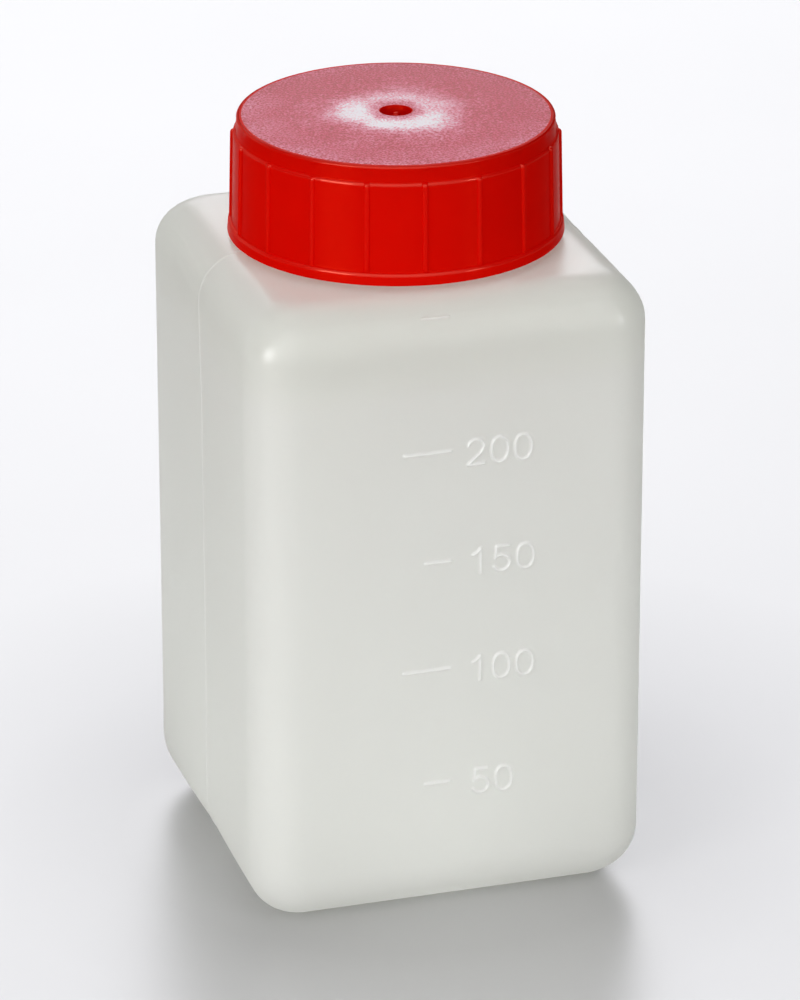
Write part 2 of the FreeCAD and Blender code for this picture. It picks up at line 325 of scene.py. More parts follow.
    # ---- walls
    patches = []
    wall_z = set(np.round(np.linspace(R_BASE, SHOULDER_Z - R_SHOULDER, 27), 3))
    for text, z, long, x in MARKS:
        zc = z - DIGIT_DROP
        patches.append((round(zc - 2.75, 3), round(zc + 2.75, 3), text, z, long, x))
    for z0, z1, *_ in patches:
        wall_z = {z for z in wall_z if z < z0 - 0.8 or z > z1 + 0.8} | {z0, round((z0 + z1) / 2 - 1.0, 3), round((z0 + z1) / 2 + 1.0, 3), z1}
    wall_z = sorted(wall_z)
    wall_rows = {}
    for z in wall_z:
        p = sq(HALF, R_EDGE, z)
        low_sink = 0.16 * np.exp(-(p[:, 1] / 11.0) ** 2) * np.isin(face_of, (0, 2)) * float(np.exp(-((z - R_BASE) / 9.0) ** 2))
        p = panel(p, 1.0)
        p[:, 0] -= np.sign(p[:, 0]) * low_sink
        wall_rows[z] = (len(rows), p)
        push(seam(p, out_x), on_line(p))
    # ---- shoulder rounding, with the mark for the top volume
    arc = R_SHOULDER * math.pi / 2
    mark_s = R_SHOULDER * math.radians(TOP_MARK_DEG)
    ss = sorted(set([round(s, 3) for s in np.linspace(0, arc, 15)[1:-1] if abs(s - mark_s) > 0.75] +
                    [round(mark_s + k, 3) for k in (-0.55, -0.40, -0.30, -0.22, -0.14, -0.07, 0, 0.07, 0.14, 0.22, 0.30, 0.40, 0.55)]))
    for s in ss:
        q = s / R_SHOULDER
        inset, z = R_SHOULDER * (1 - math.cos(q)), SHOULDER_Z - R_SHOULDER * (1 - math.sin(q))
        p = sq(HALF - inset, R_EDGE - K_SHOULDER * inset, z)
        nrm = np.stack([np.sign(ref[:, 0]) * math.cos(q), np.zeros(n), np.full(n, math.sin(q))], 1)
        x = p[:, 0]
        far = np.maximum(np.maximum(SHORT_LEFT + 0.2 - x, x - MARK_RIGHT + 0.2), 0.0)
        d = np.hypot(far, s - mark_s)
        h = relief(d, 0.26) * (face_of == 3)
        p = p + np.stack([np.zeros(n), -math.cos(q) * h, math.sin(q) * h], 1)
        push(seam(p, nrm), np.maximum(on_line(p), 0.6 * h / 0.26))
    # ---- flat shoulder in to the neck
    edge = sq(HALF - R_SHOULDER, R_EDGE - K_SHOULDER * R_SHOULDER, SHOULDER_Z)
    foot = ci(NECK_R + NECK_FILLET, SHOULDER_Z)
    for t in (0, 0.2, 0.4, 0.6, 0.8, 1.0):
        p = edge * (1 - t) + foot * t
        push(seam(p, up_z), on_line(p))
    for t in np.linspace(0, 90, 7)[1:]:
        q = math.radians(t)
        push(ci(NECK_R + NECK_FILLET * (1 - math.sin(q)), SHOULDER_Z + NECK_FILLET * (1 - math.cos(q))))
    # ---- neck with its thread
    for z in [93.4, 94.6] + list(np.arange(95.5, 104.65, 0.125)) + [105.3, 106.0]:
        r = NECK_R + (NECK_CREST - NECK_R) * ridge(z, theta, THREAD_Z, TURNS)
        seam_r = 0.06 * np.exp(-((ref[:, 1]) / 0.2) ** 2) * on_seam
        push(ci(r + seam_r, z))
    for t in np.linspace(0, 90, 6):
        q = math.radians(t)
        push(ci(NECK_R - LIP_ROUND * (1 - math.cos(q)), LIP_Z - LIP_ROUND * (1 - math.sin(q))))
    for t in np.linspace(0, 90, 6):
        q = math.radians(t)
        push(ci(BORE_R + LIP_ROUND * (1 - math.sin(q)), LIP_Z - LIP_ROUND * (1 - math.cos(q))))
    # ---- inside: bore, shoulder, walls, floor
    for z in (104.0, 101.0, 98.0, 95.0, 92.5):
        push(ci(BORE_R, z))
    top_in = SHOULDER_Z - WALL
    for t in np.linspace(0, 90, 6):
        q = math.radians(t)
        push(ci(BORE_R + 0.8 * (1 - math.cos(q)), top_in + 0.8 - 0.8 * math.sin(q)))
    h_in, r_in, rt_in, rb_in = HALF - WALL, R_EDGE - WALL, R_SHOULDER - WALL, R_BASE - BASE_WALL
    edge = sq(h_in - rt_in, r_in - K_SHOULDER * rt_in, top_in)
    for t in (0.3, 0.65):
        push(ci(BORE_R + 0.8, top_in) * (1 - t) + edge * t)
    for t in np.linspace(90, 0, 11):
        q = math.radians(t)
        inset = rt_in * (1 - math.cos(q))
        push(sq(h_in - inset, r_in - K_SHOULDER * inset, top_in - rt_in * (1 - math.sin(q))))
    for z in np.linspace(top_in - rt_in, BASE_WALL + rb_in, 22)[1:-1]:
        push(panel(sq(h_in, r_in, z), 1.0))
    for t in np.linspace(90, 0, 11):
        q = math.radians(t)
        inset = rb_in * (1 - math.sin(q))
        push(sq(h_in - inset, r_in - K_BASE * inset, BASE_WALL + rb_in * (1 - math.cos(q))))
    floor_edge = sq(h_in - rb_in, r_in - K_BASE * rb_in, BASE_WALL)
    for t in (0.35, 0.7):
        push(floor_edge * (1 - t) + ci(19.0, BASE_WALL) * t)
    for r in (19.0, 18.0, 17.0, 15.5, 13.5, 11.0, 8.5, 6.0, 3.5, 1.5):
        s = dome(r, BASE_WALL) - BASE_WALL
        push(ci(r, BASE_WALL + 0.5 * (s + math.sqrt(s * s + 0.05))))
    s = dome(0.0, BASE_WALL) - BASE_WALL
    centre_in = b.add([[0, 0, BASE_WALL + 0.5 * (s + math.sqrt(s * s + 0.05))]])[0]

    # ---- faces, leaving the numbers' patches open on the front wall
    fx = np.array(front)
    c0 = front_at + int(np.argmin(abs(fx - x_lo)))
    c1 = front_at + int(np.argmin(abs(fx - x_hi)))
    open_rows = {}
    for z0, z1, *_ in patches:
        inside = [z for z in wall_z if z0 <= z <= z1]
        for z in inside[:-1]:
            open_rows[wall_rows[z][0]] = set(range(c0, c1))
    b.fan(first, centre, up=False)
    for i in range(len(rows) - 1):
        b.band(rows[i], rows[i + 1], skip=open_rows.get(i))
    b.fan(rows[-1], centre_in, up=True)

    # ---- finely meshed patches that carry the raised marks and numbers
    step = 0.122
    for z0, z1, text, zm, long, xd in patches:
        lines = [np.array([(LONG_LEFT + STROKE / 2 if long else SHORT_LEFT + STROKE / 2, zm), (MARK_RIGHT - STROKE / 2, zm)])]
        for i, ch in enumerate(text):
            lines += numeral(ch, xd + i * DIGIT_PITCH, zm - DIGIT_DROP)
        zs = [z for z in wall_z if z0 <= z <= z1]
        xs = fx[c0 - front_at:c1 - front_at + 1]
        gx = np.linspace(x_lo + 0.2, x_hi - 0.2, int((x_hi - x_lo - 0.4) / step) + 1)
        gz = np.linspace(z0 + 0.2, z1 - 0.2, int((z1 - z0 - 0.4) / step) + 1)
        X, Z = np.meshgrid(gx, gz)
        # the wall's own surface, as panel() has it for the front face
        up = smooth((Z - 7.0) / 22.0) * smooth((86.0 - Z) / 20.0)
        dip = 0.20 * np.cos(np.clip(X / 24.5, -1, 1) * np.pi / 2) ** 2 * up
        wave = 0.022 * up * (np.sin(X * 0.33 + 2.7 + Z * 0.05) * np.sin(Z * 0.19 + 3.9) + 0.6 * np.sin(X * 0.71 + 6.0) * np.sin(Z * 0.43 + 0.5))
        raised = relief(near_lines(X, Z, lines))
        Y = -HALF + dip + wave + 0.036 * up - raised
        idx = b.add(np.stack([X, Y, Z], -1).reshape(-1, 3), raised / MARK_H).reshape(X.shape)
        for j in range(len(gz) - 1):
            for i in range(len(gx) - 1):
                b.face((idx[j, i], idx[j, i + 1], idx[j + 1, i + 1], idx[j + 1, i]))
        row_at = [rows[wall_rows[z][0]] for z in zs]
        zip_lines(b, list(row_at[0][c0:c1 + 1]), list(idx[0]), list(xs), list(gx))
        zip_lines(b, list(row_at[-1][c0:c1 + 1][::-1]), list(idx[-1][::-1]), list(-xs[::-1]), list(-gx[::-1]))
        zip_lines(b, [r[c1] for r in row_at], list(idx[:, -1]), zs, list(gz))
        zip_lines(b, [r[c0] for r in row_at][::-1], list(idx[::-1, 0]), [-z for z in zs[::-1]], list(-gz[::-1]))
    return b.make("bottle_body", [material])


# ================================================================== cap
def make_cap(gloss, grain):
    b = Builder()
    # columns: each sector is centred on a rib
    half_rib = 1.08 * math.degrees(RIB_W / 2 / 22.7)
    offs = [half_rib * q for q in (0.0, 0.25, 0.45, 0.60, 0.72, 0.82, 0.90, 0.96, 1.0, 1.08)] + [2.6, 4.6, 7.2]
    offs = sorted(set([-o for o in offs] + offs)) + [10.0]
    ang, mask = [], []
    for k in range(RIBS):
        for o in offs:
            ang.append(math.radians(RIB_A0 + 20.0 * k + o))
            mask.append(max(0.0, 1.0 - (abs(o) / half_rib) ** 3) ** 0.6)
    ang, mask = np.array(ang), np.array(mask)
    n = len(ang)
    ct, st = np.cos(ang), np.sin(ang)

    def ci(r, z):
        r = np.broadcast_to(np.asarray(r, float), (n,))
        z = np.broadcast_to(np.asarray(z, float), (n,))
        return np.stack([r * ct, r * st, z], 1)

    rows, mats = [], []

    def push(r, z, mat=0, crest=0.0):
        rows.append(b.add(ci(r, z), np.broadcast_to(np.asarray(crest, float), (n,))))
        mats.append(mat)

    def rounded(points, radius, steps=4):
        """Profile (r, z) points with each inner corner rounded."""
        out = [points[0]]
        for i in range(1, len(points) - 1):
            p0, p1, p2 = (np.array(points[j], float) for j in (i - 1, i, i + 1))
            rad = radius[i] if isinstance(radius, dict) and i in radius else (0.15 if isinstance(radius, dict) else radius)
            a, c = p0 - p1, p2 - p1
            la, lc = np.linalg.norm(a), np.linalg.norm(c)
            if rad <= 0 or la < 1e-6 or lc < 1e-6:
                out.append(tuple(p1)); continue
            cut = min(rad, 0.48 * la, 0.48 * lc)
            s, e = p1 + a / la * cut, p1 + c / lc * cut
            for k in range(steps + 1):
                t = k / steps
                out.append(tuple((1 - t) ** 2 * s + 2 * t * (1 - t) * p1 + t * t * e))
        out.append(points[-1])
        return out

    # ---- outside, from the bottom edge up: rim, ledge, ribbed panels, ledge, plain band, rounded top edge
    bottom = [(CAP_BORE + 0.35, CAP_Z0), (RIM_R, CAP_Z0), (RIM_TOP_R + 0.04, RIM_TOP_Z - 0.5)]
    flashes = 0.05 * np.sin(ang * 7 + 0.6) * (np.sin(ang * 23 + 1.0) > 0.6)
    for r, z in rounded(bottom, {1: 0.16}):
        push(r + (flashes * 0.5 if z < CAP_Z0 + 0.2 and r > 22.5 else 0.0), z)
    for t in np.linspace(0, 90, 8)[1:]:
        q = math.radians(t)
        push(RIM_TOP_R + 0.04 - 0.36 * (1 - math.cos(q)), RIM_TOP_Z - 0.5 + 0.5 * math.sin(q), 0, 1.0 if t < 80 else 0.4)
    # foot of the panels: a small fillet that the ribs run into
    for r, z in ((PANEL_LO + 0.09, RIM_TOP_Z + 0.03), (PANEL_LO + 0.045, RIM_TOP_Z + 0.09), (PANEL_LO + 0.01, RIM_TOP_Z + 0.22)):
        rib_r = np.maximum(r, PANEL_LO + RIB_H - 0.005)
        push(r + (rib_r - r) * mask, z)
    for z in (95.4, 97.2, 99.2, 101.2, 103.2, 105.0, 106.0, 106.3, 106.45):
        f = (z - RIM_TOP_Z) / (PANEL_TOP_Z - RIM_TOP_Z)
        r = PANEL_LO + (PANEL_HI - PANEL_LO) * f
        push(r + RIB_H * mask, z, 0, 0.10 * mask)
    # rounded top ledge of the panels; the ribs end on it
    for t, rib in ((12, 1.0), (24, 0.97), (36, 0.92), (48, 0.84), (60, 0.72), (75, 0.50), (90, 0.22)):
        q = math.radians(t)
        push(PANEL_HI - 0.30 * (1 - math.cos(q)) + RIB_H * rib * mask, PANEL_TOP_Z - 0.46 + 0.46 * math.sin(q), 0, 1.0 if t < 80 else 0.4)
    push(BAND_LO + 0.02, PANEL_TOP_Z + 0.03)
    push(BAND_LO, PANEL_TOP_Z + 0.12)
    for z in (107.5, 107.95, CAP_EDGE_Z - CAP_ROUND):
        push(BAND_LO + (BAND_HI - BAND_LO) * (z - 107.0) / 1.4, z)
    flat_r = BAND_HI - CAP_ROUND
    for t in np.linspace(0, 90, 9)[1:-1]:
        q = math.radians(t)
        push(flat_r + CAP_ROUND * math.cos(q), CAP_EDGE_Z - CAP_ROUND + CAP_ROUND * math.sin(q), 0, 1.0)
    crown_r = (flat_r ** 2 + CAP_CROWN ** 2) / (2 * CAP_CROWN)

    def crown(r):
        return CAP_EDGE_Z + CAP_CROWN - crown_r + math.sqrt(crown_r ** 2 - r * r)

    for r in (flat_r + 0.10, flat_r - 0.1, flat_r - 0.34, 20.4, 19.4, 17.5, 15.5, 13.5, 11.5, 9.5, 8.0, 6.5, 5.0, 3.8, 3.0, 2.6, DIMPLE_R + 0.22):
        z = crown(min(r, flat_r)) - (0.014 if r > flat_r else 0.0)
        push(r, z, 0 if r > flat_r - 0.3 else 1)
    # ---- sunk gate mark with the stub of the gate
    zt = crown(DIMPLE_R)
    for dr, dz in ((0.10, 0.015), (0.02, 0.08), (-0.02, 0.20), (-0.05, 0.42), (-0.12, 0.60), (-0.28, 0.74), (-0.52, 0.82), (-0.9, 0.85), (-1.35, 0.85)):
        push(DIMPLE_R + dr, zt - dz)
    for r, dz in ((0.55, 0.84), (0.46, 0.78), (0.43, 0.52), (0.38, 0.38), (0.26, 0.31), (0.10, 0.28)):
        push(r, zt - dz, 0, 1.0)
    tip = b.add([[0, 0, zt - 0.275]])[0]

    # ---- inside, from the bottom edge up: skirt with thread, bead, underside
    inner = []

    def push_in(r, z):
        inner.append(b.add(ci(r, z)))

    for t in np.linspace(0, 90, 5)[1:]:
        q = math.radians(t)
        push_in(CAP_BORE + 0.35 * (1 - math.sin(q)), CAP_Z0 + 0.35 * (1 - math.cos(q)))
    for z in [93.3] + list(np.arange(93.75, 102.95, 0.13)) + [103.8, 105.0]:
        push_in(CAP_BORE - (CAP_BORE - CAP_CREST) * ridge(z, ang, THREAD_Z - CAP_DROP, TURNS), z)
    for dr, z in ((0.0, 105.72), (0.06, 105.82), (0.36, 106.08), (0.60, 106.28), (0.70, 106.38), (0.62, 106.50), (0.36, 106.68), (0.06, 106.84), (0.0, 106.95), (0.0, 107.3)):
        push_in(CAP_BORE - dr, z)
    for t in np.linspace(0, 90, 5):
        q = math.radians(t)
        push_in(CAP_BORE - 0.4 + 0.4 * math.cos(q), UNDER_Z - 0.4 + 0.4 * math.sin(q))
    for r in (18.5, 15.5, 12.0, 8.0, 4.0, 1.5):
        push_in(r, UNDER_Z)
    mid = b.add([[0, 0, UNDER_Z]])[0]

    for i in range(len(rows) - 1):
        b.band(rows[i], rows[i + 1], 1 if mats[i] == 1 and mats[i + 1] == 1 else 0)
    b.fan(rows[-1], tip)
    b.band(inner[0], rows[0])
    for i in range(len(inner) - 1):
        b.band(inner[i + 1], inner[i])
    b.fan(inner[-1], mid, up=False)
    return b.make("cap_moulding", [gloss, grain])


# ================================================================== sealing disc
def make_seal(material):
    b = Builder()
    n = 144
    a = np.linspace(0, 2 * np.pi, n, endpoint=False)

    def ci(r, z):
        return np.stack([r * np.cos(a), r * np.sin(a), np.full(n, z)], 1)

    z0, z1 = SEAL_Z, SEAL_Z + SEAL_T
    rows = []
    # underside, with the ring that the lip has pressed into it
    for r in (1.5, 5.0, 9.0, 13.0, 16.5, 17.3, 17.7):
        rows.append(b.add(ci(r, z0)))
    for r, dz in ((17.95, 0.03), (18.2, 0.055), (18.55, 0.06), (18.9, 0.055), (19.15, 0.03), (19.4, 0.0), (19.9, 0.0)):
        rows.append(b.add(ci(r, z0 + dz)))
    for t in np.linspace(0, 90, 5):
        q = math.radians(t)
        rows.append(b.add(ci(SEAL_R - 0.2 + 0.2 * math.sin(q), z0 + 0.2 - 0.2 * math.cos(q))))
    for t in np.linspace(0, 90, 5):
        q = math.radians(t)
        rows.append(b.add(ci(SEAL_R - 0.2 + 0.2 * math.cos(q), z1 - 0.2 + 0.2 * math.sin(q))))
    for r in (18.5, 15.0, 11.0, 7.0, 3.0, 1.0):
        rows.append(b.add(ci(r, z1)))
    c0, c1 = b.add([[0, 0, z0]])[0], b.add([[0, 0, z1]])[0]
    b.fan(rows[0], c0, up=False)
    for i in range(len(rows) - 1):
        b.band(rows[i], rows[i + 1])
    b.fan(rows[-1], c1)
    return b.make("seal_liner", [material])


# ================================================================== materials
def new_material(name):
    m = bpy.data.materials.new(name)
    m.use_nodes = True
    nt = m.node_tree
    nt.nodes.clear()
    out = nt.nodes.new("ShaderNodeOutputMaterial")
    p = nt.nodes.new("ShaderNodeBsdfPrincipled")
    nt.links.new(p.outputs["BSDF"], out.inputs["Surface"])
    return m, nt, p


def coords(nt, scale=(1, 1, 1)):
    tc = nt.nodes.new("ShaderNodeTexCoord")
    mp = nt.nodes.new("ShaderNodeMapping")
    mp.inputs["Scale"].default_value = scale
    nt.links.new(tc.outputs["Object"], mp.inputs["Vector"])
    return mp.outputs["Vector"]


def noise(nt, vec, scale, detail=2.0, rough=0.5, dist=0.0):
    t = nt.nodes.new("ShaderNodeTexNoise")
    t.inputs["Scale"].default_value = scale
    t.inputs["Detail"].default_value = detail
    t.inputs["Roughness"].default_value = rough
    t.inputs["Distortion"].default_value = dist
    nt.links.new(vec, t.inputs["Vector"])
    return t.outputs["Fac"]


def ramp(nt, fac, stops):
    r = nt.nodes.new("ShaderNodeValToRGB")
    el = r.color_ramp.elements
    while len(el) < len(stops):
        el.new(0.5)
    for e, (pos, colour) in zip(el, stops):
        e.position = pos
        e.color = (*colour, 1.0) if len(colour) == 3 else colour
    nt.links.new(fac, r.inputs["Fac"])
    return r.outputs["Color"]


def spread(nt, fac, lo, hi, from_lo=0.3, from_hi=0.7):
    r = nt.nodes.new("ShaderNodeMapRange")
    r.inputs["From Min"].default_value = from_lo
    r.inputs["From Max"].default_value = from_hi
    r.inputs["To Min"].default_value = lo
    r.inputs["To Max"].default_value = hi
    nt.links.new(fac, r.inputs["Value"])
    return r.outputs["Result"]


def maths(nt, op, a, b=None):
    m = nt.nodes.new("ShaderNodeMath")
    m.operation = op
    for i, v in enumerate((a, b)):
        if v is None:
            continue
        if isinstance(v, (int, float)):
            m.inputs[i].default_value = v
        else:
            nt.links.new(v, m.inputs[i])
    return m.outputs["Value"]


def bump(nt, height, strength, distance, normal=None):
    bp = nt.nodes.new("ShaderNodeBump")
    bp.inputs["Strength"].default_value = strength
    bp.inputs["Distance"].default_value = distance
    nt.links.new(height, bp.inputs["Height"])
    if normal is not None:
        nt.links.new(normal, bp.inputs["Normal"])
    return bp.outputs["Normal"]


def with_gloss(nt, body, colour, rough, normal, head_on, edge=0.0, power=5.0, most=1.0):
    """Lays a gloss over a shader: head_on of the light straight on, more by edge * (1 - cos) ** power towards grazing, up to most."""
    out = next(q for q in nt.nodes if q.type == "OUTPUT_MATERIAL")
    gloss = nt.nodes.new("ShaderNodeBsdfGlossy")
    gloss.inputs["Color"].default_value = (*colour, 1.0)
    nt.links.new(rough, gloss.inputs["Roughness"])
    nt.links.new(normal, gloss.inputs["Normal"])
    share = head_on
    if edge > 0.0:
        facing = nt.nodes.new("ShaderNodeLayerWeight")
        nt.links.new(normal, facing.inputs["Normal"])
        share = maths(nt, "MULTIPLY", maths(nt, "POWER", facing.outputs["Facing"], power), edge)
        share = maths(nt, "MINIMUM", maths(nt, "ADD", share, head_on), most)
    mix = nt.nodes.new("ShaderNodeMixShader")
    nt.links.new(share, mix.inputs["Fac"])
    nt.links.new(body, mix.inputs[1])
    nt.links.new(gloss.outputs["BSDF"], mix.inputs[2])
    nt.links.new(mix.outputs["Shader"], out.inputs["Surface"])
    return mix.outputs["Shader"]


def polyethylene():
    """Natural polyethylene: milky, about half the light goes through the wall; satin skin with a fine orange peel."""
    m, nt, p = new_material("natural_polyethylene")
    v = coords(nt)
    cloud = noise(nt, v, 45.0, 3.0, 0.55)
    thick = nt.nodes.new("ShaderNodeAttribute")
    thick.attribute_name = "thick"
    xyz = nt.nodes.new("ShaderNodeSeparateXYZ")
    nt.links.new(v, xyz.inputs["Vector"])
    # painted shade: by height alone the wall's colour is made lighter towards the bottom, darkest on the rounding of
    # the shoulder and lighter again on the flat shoulder and neck; this is added to a random mottle
    painted_height_shade = ramp(nt, spread(nt, xyz.outputs["Z"], 0.0, 1.0, 0.0, 0.1), [(0.0, (1.0,) * 3), (0.30, (0.97,) * 3), (0.78, (0.80,) * 3), (0.85, (0.06,) * 3), (0.905, (0.04,) * 3), (0.918, (0.8,) * 3)])
    mottle_and_painted_shade = maths(nt, "ADD", spread(nt, cloud, -0.12, 0.12, 0.25, 0.75), painted_height_shade)
    # body: what is scattered back
    nt.links.new(ramp(nt, mottle_and_painted_shade, [(0.0, (0.860, 0.866, 0.836)), (1.0, (0.955, 0.961, 0.936))]), p.inputs["Base Color"])
    p.inputs["Subsurface Weight"].default_value = 1.0
    p.inputs["Subsurface Radius"].default_value = (1.0, 1.0, 1.0)
    p.inputs["Subsurface Scale"].default_value = 0.0008
    p.inputs["Specular IOR Level"].default_value = 0.0
    # what is scattered on through the wall; the blown wall is not quite even, and thicker at raised lines and towards the neck
    through = nt.nodes.new("ShaderNodeBsdfTranslucent")
    nt.links.new(ramp(nt, mottle_and_painted_shade, [(0.0, (0.930, 0.936, 0.912)), (1.0, (0.985, 0.990, 0.972))]), through.inputs["Color"])
    mix = nt.nodes.new("ShaderNodeMixShader")
    share = maths(nt, "ADD", spread(nt, noise(nt, v, 22.0, 2.0, 0.5), 0.69, 0.75), spread(nt, xyz.outputs["Z"], 0.0, -0.10, 0.0884, 0.0914))
    share = maths(nt, "SUBTRACT", share, spread(nt, thick.outputs["Fac"], 0.0, 0.34, 0.0, 1.0))
    nt.links.new(share, mix.inputs["Fac"])
    nt.links.new(p.outputs["BSDF"], mix.inputs[1])
    nt.links.new(through.outputs["BSDF"], mix.inputs[2])
    # skin
    peel = noise(nt, v, 2300.0, 2.0, 0.55)
    n1 = bump(nt, peel, 0.09, 0.00008)
    n2 = bump(nt, noise(nt, v, 330.0, 2.0, 0.5), 0.10, 0.0004, n1)
    # the rounding of the shoulder carries the ripples of the parison
    zone = ramp(nt, spread(nt, xyz.outputs["Z"], 0.0, 1.0, 0.082, 0.0925), [(0.12, (0.0,) * 3), (0.36, (1.0,) * 3), (0.72, (1.0,) * 3), (0.92, (0.0,) * 3)])
    zone = maths(nt, "MULTIPLY", zone, spread(nt, maths(nt, "ABSOLUTE", xyz.outputs["X"]), 1.0, 0.0, 0.0165, 0.0205))
    ripple = maths(nt, "MULTIPLY", noise(nt, coords(nt, (1.0, 1.0, 0.30)), 1500.0, 2.0, 0.6, 0.6), zone)
    n3 = bump(nt, ripple, 0.65, 0.00012, n2)
    # and its flat top a coarser grain
    grain = maths(nt, "MULTIPLY", noise(nt, v, 1300.0, 2.0, 0.6), spread(nt, xyz.outputs["Z"], 0.0, 1.0, 0.0906, 0.0914))
    n3 = bump(nt, grain, 0.50, 0.00012, n3)
    nt.links.new(n2, p.inputs["Normal"])
    rough = spread(nt, noise(nt, v, 260.0, 3.0, 0.6), 0.285, 0.315)
    nt.links.new(rough, p.inputs["Roughness"])
    with_gloss(nt, mix.outputs["Shader"], (1.0, 1.0, 1.0), rough, n3, 0.062, 0.94, 5.0, spread(nt, xyz.outputs["Z"], 0.08, 0.175, 0.0890, 0.0912))
    return m


def red_gloss():
    """Red moulded plastic as it comes from a polished mould: flow lines, faint scuffs."""
    m, nt, p = new_material("red_plastic_gloss")
    v = coords(nt)
    tint = noise(nt, v, 60.0, 3.0, 0.55)
    nt.links.new(ramp(nt, tint, [(0.25, (0.77, 0.0018, 0.0003)), (0.75, (0.82, 0.0028, 0.0005))]), p.inputs["Base Color"])
    p.inputs["IOR"].default_value = 1.49
    p.inputs["Specular IOR Level"].default_value = 0.0
    p.inputs["Subsurface Weight"].default_value = 0.55
    p.inputs["Subsurface Radius"].default_value = (1.0, 0.08, 0.04)
    p.inputs["Subsurface Scale"].default_value = 0.0025
    scuff = noise(nt, coords(nt, (1, 1, 3.5)), 420.0, 4.0, 0.65)
    rough = spread(nt, scuff, 0.13, 0.22, 0.35, 0.75)
    nt.links.new(rough, p.inputs["Roughness"])
    n1 = bump(nt, noise(nt, coords(nt, (1, 1, 6.0)), 130.0, 2.0, 0.5), 0.10, 0.0004)
    n2 = bump(nt, noise(nt, v, 1400.0, 2.0, 0.5), 0.05, 0.0001, n1)
    nt.links.new(n2, p.inputs["Normal"])
    through = nt.nodes.new("ShaderNodeBsdfTranslucent")
    nt.links.new(ramp(nt, tint, [(0.25, (0.88, 0.012, 0.002)), (0.75, (0.92, 0.016, 0.003))]), through.inputs["Color"])
    mix = nt.nodes.new("ShaderNodeMixShader")
    mix.inputs["Fac"].default_value = 0.47
    nt.links.new(p.outputs["BSDF"], mix.inputs[1])
    nt.links.new(through.outputs["BSDF"], mix.inputs[2])
    # the small roundings of ledges and ribs are the best polished places
    crest = nt.nodes.new("ShaderNodeAttribute")
    crest.attribute_name = "thick"
    skin = with_gloss(nt, mix.outputs["Shader"], (1.0, 0.07, 0.02), rough, n2, spread(nt, crest.outputs["Fac"], 0.032, 0.030, 0.0, 1.0))
    skin = with_gloss(nt, skin, (1.0, 0.40, 0.28), rough, n2, spread(nt, crest.outputs["Fac"], 0.0, 0.065, 0.0, 1.0))
    with_gloss(nt, skin, (1.0, 0.62, 0.57), rough, n2, 0.0, 0.85, 9.0, 0.20)
    return m


def red_grain():
    """The cap's top: the same plastic with the fine spark-eroded grain of its mould, and a painted highlight: a pale
    ring of glare around the gate, strongest towards the front left.
    """
    m, nt, p = new_material("red_plastic_grain")
    v = coords(nt)
    fine = noise(nt, v, 3000.0, 2.0, 0.6)
    patch = noise(nt, v, 130.0, 3.0, 0.6)
    length = nt.nodes.new("ShaderNodeVectorMath")
    length.operation = "LENGTH"
    nt.links.new(coords(nt, (1, 1, 0)), length.inputs[0])
    radius = maths(nt, "ADD", length.outputs["Value"], spread(nt, noise(nt, v, 160.0, 2.0, 0.5), -0.0011, 0.0011))
    # painted highlight: a pale ring of glare around the gate, put into the colour
    ring = ramp(nt, spread(nt, radius, 0.0, 1.0, 0.0, 0.0225), [
        (0.08, (0.36,) * 3), (0.15, (0.55,) * 3), (0.23, (1.0,) * 3), (0.30, (0.98,) * 3), (0.37, (0.60,) * 3), (0.46, (0.30,) * 3),
        (0.66, (0.20,) * 3), (0.82, (0.28,) * 3), (0.96, (0.33,) * 3)])
    # painted highlight: the glare is made strongest towards the front left, the side of the lamps, and weak at the back
    lean = nt.nodes.new("ShaderNodeVectorMath")
    lean.operation = "DOT_PRODUCT"
    lean.inputs[1].default_value = (-0.52, -0.85, 0.0)
    nt.links.new(v, lean.inputs[0])
    side = spread(nt, lean.outputs["Value"], 0.62, 1.0, -0.006, 0.0035)
    speck = spread(nt, fine, -0.34, 0.34, 0.33, 0.67)
    painted_glare = maths(nt, "MULTIPLY", maths(nt, "MULTIPLY", ring, side), spread(nt, patch, 0.75, 1.25, 0.35, 0.65))
    speck_and_painted_glare = maths(nt, "MAXIMUM", maths(nt, "MINIMUM", maths(nt, "ADD", maths(nt, "MAXIMUM", painted_glare, 0.17), speck), 1.0), 0.0)
    # colour from the dark red specks of the grain to the pink-white of the painted glare
    nt.links.new(ramp(nt, speck_and_painted_glare, [(0.0, (0.50, 0.004, 0.016)), (0.25, (0.68, 0.050, 0.106)), (0.55, (0.88, 0.28, 0.405)), (1.0, (0.99, 0.93, 0.98))]), p.inputs["Base Color"])
    p.inputs["IOR"].default_value = 1.49
    p.inputs["Specular IOR Level"].default_value = 0.36
    nt.links.new(maths(nt, "SUBTRACT", spread(nt, fine, 0.42, 0.58), spread(nt, ring, 0.0, 0.10, 0.3, 0.9)), p.inputs["Roughness"])
    n1 = bump(nt, fine, 0.5, 0.00010)
    n2 = bump(nt, patch, 0.10, 0.0006, n1)
    nt.links.new(n2, p.inputs["Normal"])
    return m


def foam():
    """White foamed liner with a fine cell pattern."""
    m, nt, p = new_material("white_foam")
    v = coords(nt)
    cells = nt.nodes.new("ShaderNodeTexVoronoi")
    cells.inputs["Scale"].default_value = 2600.0
    nt.links.new(v, cells.inputs["Vector"])
    nt.links.new(ramp(nt, noise(nt, v, 300.0, 3.0), [(0.3, (0.80, 0.80, 0.77)), (0.7, (0.87, 0.87, 0.85))]), p.inputs["Base Color"])
    p.inputs["Roughness"].default_value = 0.62
    p.inputs["Subsurface Weight"].default_value = 0.3
    p.inputs["Subsurface Scale"].default_value = 0.001
    nt.links.new(bump(nt, cells.outputs["Distance"], 0.35, 0.0001), p.inputs["Normal"])
    return m


